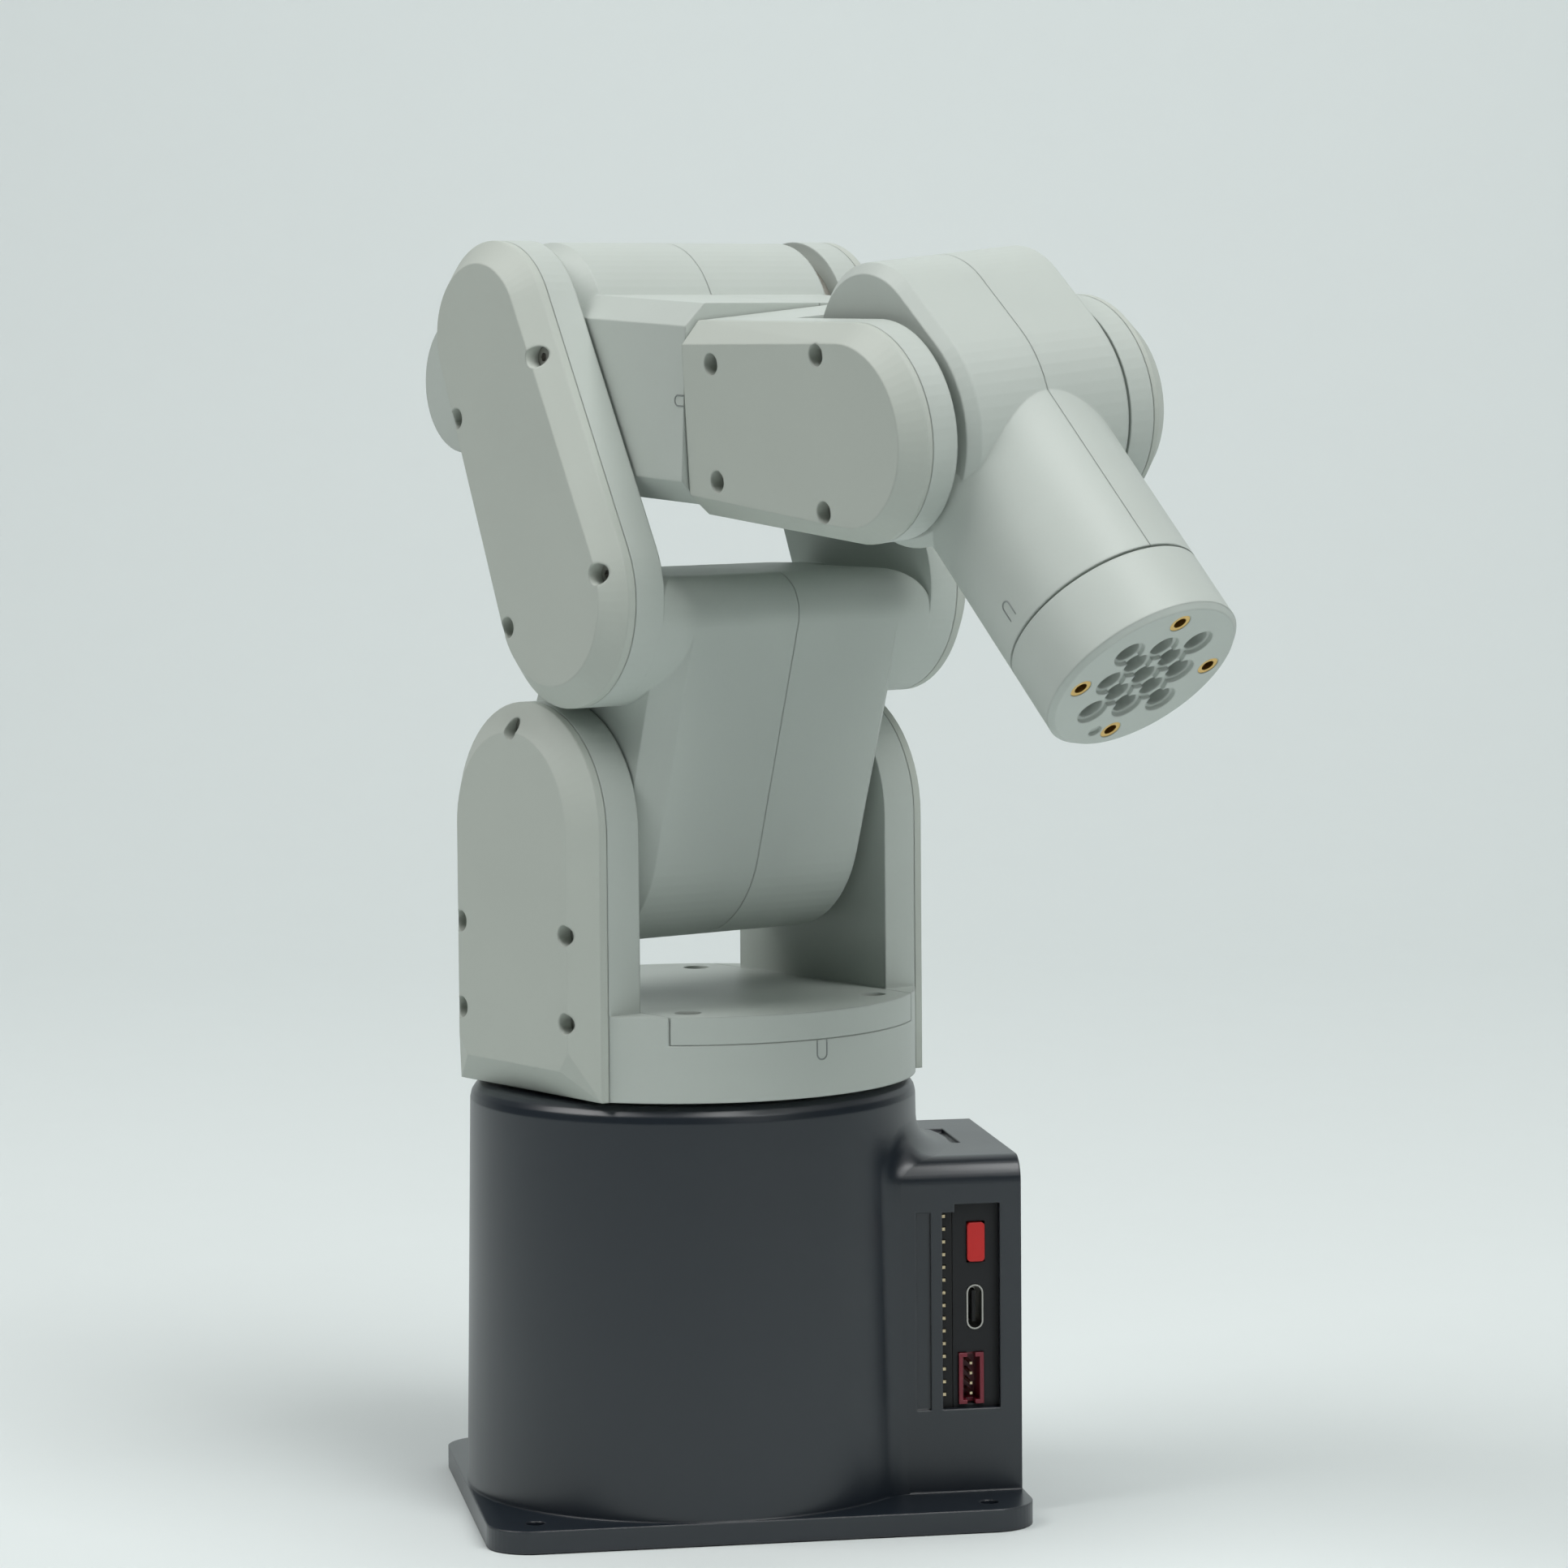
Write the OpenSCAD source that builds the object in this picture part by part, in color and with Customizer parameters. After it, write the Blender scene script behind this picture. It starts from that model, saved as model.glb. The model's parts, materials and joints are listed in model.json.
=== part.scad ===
// Desktop six-axis collaborative robot arm, shown in a working pose.
// Units are millimetres, +Z is up, the first axis stands on the origin,
// +X points to the connector box, -Y is the side with the port window.

/* [View] */
// Sub-part to draw, or all of them

/* [Pose] */
// Turn of the turret about the upright axis
turret_yaw = -62.6; // [-180:0.1:180]
// Downward pitch of the forearm
fore_pitch = 2.9; // [-90:0.1:90]
// Roll of the wrist fork about the forearm axis
wrist_roll = 5.4; // [-160:0.1:160]
// Downward pitch of the wrist tube from the forearm axis
wrist_pitch = 44.2; // [-100:0.1:100]

/* [Base] */
// Foot plate edge on the round side
foot_back = -46.4; // [-60:0.1:-40]
// Foot plate edge on the connector side
foot_front = 61.3; // [50:0.1:80]
// Foot plate half width
foot_half = 46.2; // [40:0.1:60]
// Foot plate thickness
foot_t = 4.4; // [2:0.1:8]
// Radius of the body at the foot
body_r0 = 46; // [40:0.1:60]
// Radius of the body at the shoulder
body_r1 = 44.5; // [40:0.1:60]
// Height of the body
body_h = 85; // [60:0.1:120]
// Half width of the connector box
box_half = 28.9; // [20:0.1:40]
// Outer end of the connector box
box_end = 61.1; // [50:0.1:80]
// Height of the connector box
box_h = 70.9; // [50:0.1:90]
// Foot bolt hole radius
foot_hole_r = 1.9; // [1:0.05:3]

/* [Turret] */
// Radius of the turret disc
disc_r = 44.65; // [40:0.05:60]
// Underside of the turret disc
disc_z0 = 85.8; // [80:0.1:100]
// Height of the seam round the disc
disc_seam = 97; // [90:0.1:110]
// Top of the turret disc
disc_z1 = 102.5; // [95:0.1:120]
// Height of the shoulder axis
j2_z = 137.4; // [120:0.1:160]
// Outer face of the shoulder ears, from the middle
ear_a = 43.1; // [35:0.1:55]
// Inner face of the shoulder ears, from the middle
ear_in = 29.9; // [20:0.1:40]
// Radius of the ear's round top
ear_r = 24.7; // [15:0.1:35]

/* [Upper arm] */
// Radius of the cross body on the shoulder axis
j2_r = 23.6; // [15:0.1:30]
// Forward place of the lower plate centre
low_x = 15.96; // [0:0.01:30]
// Height of the lower plate centre
low_z = 183.06; // [160:0.01:200]
// Radius of the lower plate end
low_r = 21.4; // [15:0.1:30]
// Forward place of the elbow axis
j3_x = -7.88; // [-30:0.01:10]
// Height of the elbow axis
j3_z = 233.42; // [200:0.01:260]
// Radius of the upper plate end
top_r = 18.5; // [12:0.1:25]
// Outer face of the upper arm plates
arm_a = 44.5; // [35:0.1:55]
// Inner face of the upper arm plates
arm_in = 32.2; // [20:0.1:40]

/* [Forearm] */
// Distance from the elbow to the wrist along the forearm
fore_len = 100.95; // [60:0.05:150]
// Drop of the forearm axis below the elbow axis
fore_drop = 10.47; // [0:0.01:20]
// Half width of the forearm block
block_half = 31.4; // [20:0.1:40]
// Outer face of the wrist fork
fork_a = 31.4; // [20:0.1:40]
// Inner face of the wrist fork
fork_in = 20.5; // [10:0.1:30]
// Radius of the wrist fork ends
fork_r = 20.4; // [12:0.1:30]

/* [Wrist and tool] */
// Radius of the wrist cross body
wrist_r = 22.4; // [15:0.1:30]
// Radius of the wrist tube
tube_r = 19.6; // [12:0.1:25]
// Distance from the wrist axis to the tool face
tool_len = 63.65; // [40:0.05:90]
// Pitch of the tool hole grid
grid = 8; // [4:0.1:12]
// Radius of the tool grid holes
grid_r = 2.4; // [1:0.05:4]
// Radius of the circle of threaded inserts
insert_c = 15; // [10:0.1:20]

/* [Hidden] */
dark = [0.17, 0.19, 0.22];
light = [0.74, 0.77, 0.755];
steel = [0.6, 0.6, 0.58];
black = [0.04, 0.04, 0.045];
brass = [0.78, 0.6, 0.25];
cover_t = 5.8;
seam = 0.12;
chf = 4.05;
block_hh = 19.1;
block_ch = 4.4;
block_end = 51.6;
fork_rear = -48.8;
fork_hh = 18.5;
win_x0 = 45.2;
win_x1 = 56.8;
ear_holes = [[0, 157.0], [18.1, 118], [18.1, 100.9], [-18.1, 118], [-18.1, 100.9]];
arm_holes = [[11.3, 229.3], [32.0, 188.2], [-15.4, 217.2], [1.9, 176.9]];
fork_holes = [[-39.7, 11.1], [-39.7, -11.1], [-6.6, 14.5], [-6.6, -14.5]];
deck_holes = [[30, 22.5], [30, -22.5], [-30, 22.5], [-30, -22.5]];

// ---- placing ----
module in_turret() rotate([0, 0, turret_yaw]) children();
module in_elbow() in_turret() translate([j3_x, 0, j3_z]) rotate([0, fore_pitch, 0]) children();
module in_fork() in_elbow() translate([fore_len, 0, -fore_drop]) rotate([wrist_roll, 0, 0]) children();
module in_wrist() in_fork() rotate([0, wrist_pitch, 0]) children();

// ---- helpers ----
// upright disc between two distances from the middle, on side s
module side_cyl(x, z, r, a, b, s, fn = 64)
    translate([x, s > 0 ? a : -b, z]) rotate([-90, 0, 0]) cylinder(r = r, h = b - a, $fn = fn);
module side_box(x0, x1, z0, z1, a, b, s)
    translate([x0, s > 0 ? a : -b, z0]) cube([x1 - x0, b - a, z1 - z0]);
module x_cyl(y, z, r, x0, x1, fn = 64)
    translate([x0, y, z]) rotate([0, 90, 0]) cylinder(r = r, h = x1 - x0, $fn = fn);
// screw lying across: head seated at distance d, side s
module side_screw(x, z, d, s) {
    difference() {
        side_cyl(x, z, 1.9, d, d + 1.6, s, 32);
        side_cyl(x, z, 0.9, d + 0.7, d + 2, s, 6);
    }
    side_cyl(x, z, 1.2, d - 7, d + 0.1, s, 24);
}

// ---- base ----
module base_shell() color(dark) difference() {
    union() {
        hull() for (x = [foot_back + 9, foot_front - 9], y = [-foot_half + 9, foot_half - 9])
            translate([x, y, 0]) cylinder(r = 9, h = foot_t, $fn = 48);
        rotate_extrude($fn = 128) polygon([[0, 0], [body_r0, 0], [body_r1 + 0.05, body_h - 3.2],
            [body_r1 - 0.25, body_h - 1.95], [body_r1 - 0.9, body_h - 0.95],
            [body_r1 - 1.9, body_h - 0.25], [body_r1 - 3.1, body_h], [0, body_h]]);
        hull() {
            for (y = [-box_half + 5, box_half - 5]) x_cyl(y, box_h - 5, 5, 20, box_end, 48);
            translate([20, -box_half, 1]) cube([box_end - 20, 2 * box_half, 5]);
        }
    }
    // hollow inside, open downwards for the floor plate, with four screw posts
    difference() {
        union() {
            translate([0, 0, 2.4]) cylinder(r = 41.6, h = body_h - 5.6, $fn = 96);
            translate([10, -27.15, 2.4]) cube([box_end - 12.6, 54.3, 66.1]);
        }
        for (x = [-30, 30], y = [-24, 24]) translate([x, y, 2.4]) cylinder(r = 3.8, h = 11, $fn = 32);
    }
    for (x = [-30, 30], y = [-24, 24]) translate([x, y, 2]) cylinder(r = 1.25, h = 9, $fn = 24);
    translate([0, 0, -1]) cylinder(r = 42.6, h = 3.5, $fn = 96);
    translate([10, -27.4, -1]) cube([box_end - 12.4, 54.8, 3.5]);
    // seat for the turret bearing and shaft
    translate([0, 0, body_h - 4]) cylinder(r = 16.3, h = 6, $fn = 64);
    // foot bolt holes
    for (x = [-37, 52.4], y = [-39, 39]) translate([x, y, -1]) cylinder(r = foot_hole_r, h = 8, $fn = 32);
    // port window, stepped at the top
    translate([win_x0, -box_half - 1, 21]) cube([2.6, 3, 39.3]);
    translate([win_x0 + 2.5, -box_half - 1, 21]) cube([win_x1 - win_x0 - 2.5, 3, 40.9]);
    // shallow finger recess beside the window
    translate([40, -box_half - 1, 21]) cube([2.9, 1.7, 39.3]);
    // display opening
    translate([box_end - 4, -25.4, 15.8]) cube([6, 50.8, 50.8]);
    // grip slot and label recess in the box roof
    translate([47, -8, box_h - 4]) cube([2.4, 19.5, 5]);
    translate([49.3, -8, box_h - 0.8]) cube([3.7, 19.5, 2]);
}
module base_floor() color(dark) difference() {
    union() {
        cylinder(r = 42.3, h = 2.3, $fn = 96);
        translate([12, -27.1, 0]) cube([box_end - 14.8, 54.2, 2.3]);
        // four posts that carry the first servo
        for (x = [-17, 17], y = [-20, 20]) translate([x, y, 2.2]) cylinder(r = 3.2, h = 26, $fn = 32);
        // cradle for the controller
        translate([50, -24, 2.2]) cube([7, 48, 11.9]);
    }
    for (x = [-30, 30], y = [-24, 24]) translate([x, y, -1]) cylinder(r = 1.5, h = 4, $fn = 24);
    for (x = [-30, 30], y = [-24, 24]) translate([x, y, -1]) cylinder(r = 2.9, h = 2.2, $fn = 24);
    for (a = [0:30:330]) rotate([0, 0, a]) translate([10, -0.8, -1]) cube([6, 1.6, 5]);
}
module floor_screws() color(steel) for (x = [-30, 30], y = [-24, 24]) translate([x, y, 0.1]) difference() {
    union() {
        cylinder(r = 2.6, h = 1.08, $fn = 32);
        cylinder(r = 1.2, h = 9, $fn = 24);
    }
    translate([-1.7, -0.3, -1]) cube([3.4, 0.6, 1.6]);
    translate([-0.3, -1.7, -1]) cube([0.6, 3.4, 1.6]);
}
module controller_case() color(black) difference() {
    union() {
        translate([47.6, -27, 14.3]) cube([box_end - 50.3, 54, 53.8]);
        translate([51, -25.2, 16]) cube([box_end - 51.4, 50.4, 50.4]);
    }
    // room for the display panel and its three buttons
    translate([box_end - 2.4, -22.6, 29.9]) cube([4, 45.2, 35.2]);
    for (y = [-14, 0, 14]) translate([box_end - 3.4, y - 4.2, 19.8]) cube([6, 8.4, 4.4]);
    // ports
    translate([50.4, -28, 49.9]) cube([3.7, 5, 8.2]);
    hull() for (z = [38.2, 43.8])
        translate([52.05, -28, z]) rotate([-90, 0, 0]) cylinder(r = 1.75, h = 10, $fn = 32);
    translate([48.6, -28, 21.6]) cube([5.2, 12, 10.4]);
    // board bay
    translate([49.4, -20, 34]) cube([6, 40, 24]);
}
module display_panel() color([0.05, 0.06, 0.08]) difference() {
    translate([box_end - 2.35, -22.5, 30]) cube([1.9, 45, 35]);
    translate([box_end - 0.65, -20.4, 32.2]) cube([1, 40.8, 30.6]);
}
module front_button(y) color([0.1, 0.1, 0.11]) union() {
    translate([box_end - 2.3, y - 4, 20]) cube([2.1, 8, 4]);
    translate([box_end - 0.3, y - 3.2, 20.6]) cube([0.35, 6.4, 2.8]);
}
module front_button_left() front_button(-14);
module front_button_middle() front_button(0);
module front_button_right() front_button(14);
module power_button() color([0.85, 0.1, 0.08]) union() {
    hull() for (x = [51.25, 53.25], z = [50.85, 57.15])
        translate([x, -27.6, z]) rotate([-90, 0, 0]) cylinder(r = 0.75, h = 3.4, $fn = 24);
    translate([51.2, -24.3, 52]) cube([2.1, 0.6, 4]);
}
module usb_shell() color(steel) difference() {
    hull() for (z = [38.2, 43.8])
        translate([52.05, -27.2, z]) rotate([-90, 0, 0]) cylinder(r = 1.68, h = 8.6, $fn = 32);
    hull() for (z = [38.2, 43.8])
        translate([52.05, -27.7, z]) rotate([-90, 0, 0]) cylinder(r = 1.38, h = 8.2, $fn = 32);
}
module usb_tongue() color(black)
    translate([51.7, -25.8, 37.9]) cube([0.7, 6.3, 6.2]);
module signal_socket() color([0.42, 0.05, 0.09]) difference() {
    translate([48.7, -27.6, 21.7]) cube([5, 8.6, 10.2]);
    translate([49.5, -28, 22.5]) cube([3.4, 6.6, 8.6]);
    translate([50.4, -28, 21]) cube([1.6, 3, 2]);
    translate([50.4, -28, 30.6]) cube([1.6, 3, 2]);
    for (i = [0:3]) translate([50.9, -22, 23.45 + i * 2]) cube([0.6, 2, 0.6]);
}
module signal_pins() color(brass) for (i = [0:3])
    translate([50.95, -27.1, 23.5 + i * 2]) cube([0.5, 6.6, 0.5]);
module bus_header() color(black) difference() {
    translate([44.6, -26.9, 20.6]) cube([2.9, 6, 40.9]);
    for (i = [0:14]) translate([45.35, -27, 23.28 + i * 2.54]) cube([0.9, 6.5, 0.9]);
}
module bus_pins() color(brass) for (i = [0:14])
    translate([45.5, -27.3, 23.43 + i * 2.54]) cube([0.6, 6.6, 0.6]);
module j1_servo() color([0.12, 0.12, 0.13]) difference() {
    union() {
        translate([-22.6, -12.4, 44]) cube([45.2, 24.8, 36]);
        translate([-22.6, -24.5, 28.3]) cube([45.2, 49, 3]);
        translate([-15, -12.4, 31]) cube([30, 24.8, 14]);
        translate([0, 0, 31]) cylinder(r = 9, h = 50.5, $fn = 48);
    }
    for (x = [-17, 17], y = [-20, 20]) translate([x, y, 28]) cylinder(r = 1.3, h = 4, $fn = 24);
}

// ---- turret ----
module j1_horn() color(steel) in_turret() difference() {
    union() {
        translate([0, 0, 81.7]) cylinder(r = 16, h = 4, $fn = 64);
        translate([0, 0, 85.6]) cylinder(r = 12, h = 3.1, $fn = 64);
    }
    for (a = [45:90:315]) rotate([0, 0, a]) translate([8.5, 0, 80]) cylinder(r = 1.1, h = 12, $fn = 24);
    translate([0, 0, 80]) cylinder(r = 3.2, h = 12, $fn = 32);
}
module ear(s) {
    hull() {
        side_cyl(0, j2_z, ear_r, ear_in, ear_a - cover_t, s);
        side_box(-ear_r, ear_r, disc_z0, disc_z0 + 5, ear_in, ear_a - cover_t, s);
    }
}
module turret_frame() color(light) in_turret() difference() {
    union() {
        translate([0, 0, disc_z0]) cylinder(r = disc_r, h = disc_z1 - disc_z0, $fn = 128);
        ear(1);
        ear(-1);
    }
    // seat of the deck, open to the front and back
    translate([-60, -29.4, disc_seam]) cube([120, 58.8, 10]);
    // cut flat where the covers sit
    for (s = [-1, 1]) side_box(-60, 60, disc_z0 - 1, disc_z1 + 1, ear_a - cover_t, 60, s);
    // cable way through the hub
    translate([0, 0, disc_z0]) cylinder(r = 6, h = 20, $fn = 48);
    translate([0, 0, disc_z0 - 1]) cylinder(r = 12.2, h = 4.2, $fn = 64);
    for (p = deck_holes) translate([p[0], p[1], disc_z0 + 4]) cylinder(r = 1.25, h = 14, $fn = 24);
    // cable bay under each cover
    for (s = [-1, 1]) {
        side_box(-14, 14, 103, 128, 34.2, 40, s);
        side_cyl(0, j2_z, 12, 34.2, 40, s, 48);
        for (p = ear_holes) side_cyl(p[0], p[1], 1.25, 31.4, 40, s, 24);
    }
    side_cyl(0, j2_z, 5, 28, 40, 1, 32);
    side_cyl(0, j2_z, 4, 28, 40, -1, 48);
}
module turret_deck() color(light) in_turret() difference() {
    intersection() {
        translate([0, 0, disc_seam + 0.1]) cylinder(r = disc_r, h = disc_z1 - disc_seam - 0.1, $fn = 128);
        translate([-60, -29.2, disc_seam]) cube([120, 58.4, 10]);
    }
    translate([-20, -25, disc_seam]) cube([40, 50, 2.2]);
    for (p = deck_holes) {
        translate([p[0], p[1], disc_seam]) cylinder(r = 1.4, h = 9, $fn = 24);
        translate([p[0], p[1], disc_z1 - 2.2]) cylinder(r = 2.6, h = 4, $fn = 32);
    }
}
module deck_screws() color(steel) in_turret() for (p = deck_holes) translate([p[0], p[1], disc_z1 - 2.19]) {
    difference() {
        cylinder(r = 2.3, h = 1.5, $fn = 32);
        translate([0, 0, 0.8]) cylinder(r = 1, h = 2, $fn = 6);
    }
    translate([0, 0, -8]) cylinder(r = 1.2, h = 8.1, $fn = 24);
}
module ear_cover(s) in_turret() color(light) difference() {
    hull() {
        side_cyl(0, j2_z, ear_r, ear_a - cover_t + seam, ear_a - chf, s);
        side_cyl(0, j2_z, ear_r - 5.7, ear_a - 1, ear_a, s);
        side_box(-ear_r, ear_r, disc_z0, disc_z0 + 9, ear_a - cover_t + seam, ear_a - chf, s);
        side_box(-ear_r + 5.7, ear_r - 5.7, disc_z0 + 9.5, disc_z0 + 12, ear_a - 1, ear_a, s);
        side_box(-ear_r + 8.6, ear_r - 8.6, disc_z0 + 5.7, disc_z0 + 9, ear_a - 1, ear_a, s);
    }
    side_box(-14, 14, 103, 130, 30, ear_a - 3.4, s);
    side_cyl(0, j2_z, 12, 30, ear_a - 3.4, s, 48);
    for (p = ear_holes) {
        side_cyl(p[0], p[1], 1.35, 30, 60, s, 24);
        side_cyl(p[0], p[1], 2.1, ear_a - 4.5, 60, s, 32);
    }
}
module ear_cover_right() ear_cover(-1);
module ear_cover_left() ear_cover(1);
module ear_cover_screws() color(steel) in_turret() for (s = [-1, 1], p = ear_holes)
    side_screw(p[0], p[1], ear_a - 4.45, s);
module j2_horn() color(steel) in_turret() difference() {
    union() {
        side_cyl(0, j2_z, 15, 27, ear_in - 0.01, 1);
        side_cyl(0, j2_z, 4.9, ear_in - 0.1, 36.5, 1, 32);
    }
    for (a = [0:60:300]) side_cyl(11.5 * cos(a), j2_z + 11.5 * sin(a), 1.2, 20, 31, 1, 24);
}
module j2_idler() color(steel) in_turret() side_cyl(0, j2_z, 3.98, 22, 33.9, -1, 48);

// ---- upper arm ----
module along_arm() translate([0, 0, j2_z]) rotate([0, atan2(low_x, low_z - j2_z), 0]) children();
module arm_body(s) {
    // body from the shoulder to the plate feet, with chamfered flanks
    difference() {
        hull() {
            side_cyl(0, j2_z, j2_r, 0, 24.5, s);
            side_cyl(0, j2_z, j2_r - 4.5, 0, s > 0 ? 26.6 : 29.4, s);
            side_cyl(low_x, low_z, low_r, 0, 24.5, s);
            side_cyl(low_x, low_z, low_r - 5, 0, 29.4, s);
        }
        side_box(6, 60, 177.35, 300, -1, 60, s);
        if (s > 0) side_cyl(0, j2_z, 16.2, 26.7, 31, s, 48);
    }
    // foot of the plate running inwards under the ledge
    difference() {
        side_cyl(low_x, low_z, low_r, 20, arm_in + 0.5, s);
        side_box(-60, 60, 177.6, 300, 0, 60, s);
    }
    // head of the body between the plates, rounded at its front and side top edges
    intersection() {
        union() {
            side_box(-4, 29.1, 177.3, 187.2, 0, arm_in + 0.3, s);
            side_cyl(29.1, 179.43, 7.77, 0, arm_in + 0.3, s, 64);
        }
        union() {
            side_box(-4, 40, 177, 179.2, 0, arm_in + 0.3, s);
            side_box(-4, 40, 177, 187.2, 0, arm_in - 7.7, s);
            x_cyl(s * (arm_in - 7.7), 179.2, 8, -4, 40, 64);
        }
        side_box(-4, 40, 177.3, 188, 0, arm_in + 0.3, s);
    }
    hull() {
        side_cyl(low_x, low_z, low_r, arm_in, arm_a - cover_t, s);
        side_cyl(j3_x, j3_z, top_r, arm_in, arm_a - cover_t, s);
    }
}
module arm_shell(s) in_turret() color(light) difference() {
    arm_body(s);
    // roof of the body and the open top between the plates
    side_box(-60, 60, 187.2, 300, -1, arm_in, s);
    // servo bay and cable way
    along_arm() {
        side_box(-13, 13, -12.9, 32.8, -1, 18.2, s);
        side_box(-9, 9, 30, 49, -1, 20, s);
    }
    side_cyl(0, j2_z, 9.2, -1, s > 0 ? 27.5 : 18.2, s, 48);
    if (s < 0) side_cyl(0, j2_z, 8.02, 19, 40, s, 48);
    // cable bay in the plate and the elbow joint
    hull() {
        side_cyl(low_x, low_z, 11, 36.2, 45, s, 32);
        side_cyl(j3_x, j3_z, 10, 36.2, 45, s, 32);
    }
    if (s > 0) side_cyl(j3_x, j3_z, 5, 30, 45, s, 32);
    if (s < 0) side_cyl(j3_x, j3_z, 4, 30, 45, s, 48);
    for (p = arm_holes) side_cyl(p[0], p[1], 1.25, 32.8, 45, s, 24);
}
module arm_shell_right() arm_shell(-1);
module arm_shell_left() difference() {
    arm_shell(1);
    in_turret() translate([-80, -20, 80]) cube([200, 20 + seam, 200]);
}
module arm_cover(s) in_turret() color(light) difference() {
    hull() {
        side_cyl(low_x, low_z, low_r, arm_a - cover_t + seam, arm_a - 4, s);
        side_cyl(j3_x, j3_z, top_r, arm_a - cover_t + seam, arm_a - 4, s);
        side_cyl(low_x, low_z, low_r - 4.46, arm_a - 1, arm_a, s);
        side_cyl(j3_x, j3_z, top_r - 4.46, arm_a - 1, arm_a, s);
    }
    hull() {
        side_cyl(low_x, low_z, 11, 30, arm_a - 3.4, s, 32);
        side_cyl(j3_x, j3_z, 10, 30, arm_a - 3.4, s, 32);
    }
    for (p = arm_holes) {
        side_cyl(p[0], p[1], 1.35, 30, 60, s, 24);
        side_cyl(p[0], p[1], 2.1, arm_a - 4.5, 60, s, 32);
    }
}
module arm_cover_right() arm_cover(-1);
module arm_cover_left() arm_cover(1);
module arm_cover_screws() color(steel) in_turret() for (s = [-1, 1], p = arm_holes)
    side_screw(p[0], p[1], arm_a - 4.45, s);
module j2_servo() color([0.12, 0.12, 0.13]) in_turret() difference() {
    union() {
        along_arm() translate([-12.4, -18.1, -12.4]) cube([24.8, 36.2, 45]);
        side_cyl(0, j2_z, 9, 17, 26.95, 1, 48);
    }
    along_arm() translate([-13, -14, 18]) cube([26, 3, 12]);
}
module j2_bearing() color(steel) in_turret() difference() {
    side_cyl(0, j2_z, 8, 21.4, 29.3, -1, 48);
    side_cyl(0, j2_z, 4.04, 20, 32, -1, 48);
}
module j3_horn() color([0.5, 0.48, 0.44]) in_turret() difference() {
    union() {
        side_cyl(j3_x, j3_z, 15, 28.5, arm_in - 0.01, 1);
        side_cyl(j3_x, j3_z, 4.9, arm_in - 0.1, 36, 1, 32);
    }
    for (a = [0:60:300]) side_cyl(j3_x + 11.5 * cos(a), j3_z + 11.5 * sin(a), 1.2, 20, 34, 1, 24);
}
module j3_idler() color(steel) in_turret() side_cyl(j3_x, j3_z, 3.98, 24, 36.1, -1, 48);

// ---- elbow and forearm ----
module elbow_body(s) {
    far = s > 0 ? 28.2 : 31.4;
    hull() {
        side_cyl(0, 0, 18.2, 0, s > 0 ? 28.2 : 26.4, s);
        side_cyl(0, 0, 13.4, 0, far, s);
        side_cyl(-24.2, -10.6, 14, 0, far, s);
    }
    hull() {
        side_box(-8, block_end, -fore_drop - block_hh + block_ch,
            -fore_drop + block_hh - block_ch, 0, block_half, s);
        side_box(-8, block_end, -fore_drop - block_hh, -fore_drop + block_hh, 0, block_half - block_ch, s);
    }
}
module along_tail() rotate([0, -23.7, 0]) children();
module elbow_shell(s) in_elbow() color(light) difference() {
    elbow_body(s);
    // clears the plate on the horn side
    if (s > 0) side_cyl(0, 0, 19.5, 28.2, 40, s);
    // servo bays
    along_tail() side_box(-29.3, 12.3, -11.3, 11.3, -1, 18.2, s);
    side_box(16.8, 49.2, -23, 2, -1, 18.2, s);
    side_box(18, 46, -26, 5.4, -1, 27, s);
    x_cyl(0, -fore_drop, 9.2, 40, 60, 48);
    if (s > 0) side_cyl(0, 0, 9.2, 10, 40, s, 48);
    if (s < 0) side_cyl(0, 0, 8.02, 22, 40, s, 48);
}
module elbow_shell_right() elbow_shell(-1);
module elbow_shell_left() difference() {
    elbow_shell(1);
    in_elbow() translate([-80, -20, -80]) cube([200, 20 + seam, 200]);
}
module j3_servo() color([0.12, 0.12, 0.13]) in_elbow() difference() {
    union() {
        along_tail() translate([-29, -18.1, -11]) cube([41, 36.2, 22]);
        side_cyl(0, 0, 9, 17, 28.45, 1, 48);
    }
    along_tail() translate([-26, -14, 5]) cube([14, 3, 12]);
}
module j3_bearing() color(steel) in_elbow() difference() {
    side_cyl(0, 0, 8, 23.4, 31.3, -1, 48);
    side_cyl(0, 0, 4.04, 20, 34, -1, 48);
}
module j4_servo() color([0.12, 0.12, 0.13]) in_elbow() difference() {
    union() {
        translate([17, -18.1, -fore_drop - 12.4]) cube([32, 36.2, 24.8]);
        x_cyl(0, -fore_drop, 9, 48, block_end + 0.2, 48);
    }
    translate([20, -14, -fore_drop + 8]) cube([14, 3, 12]);
}

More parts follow.
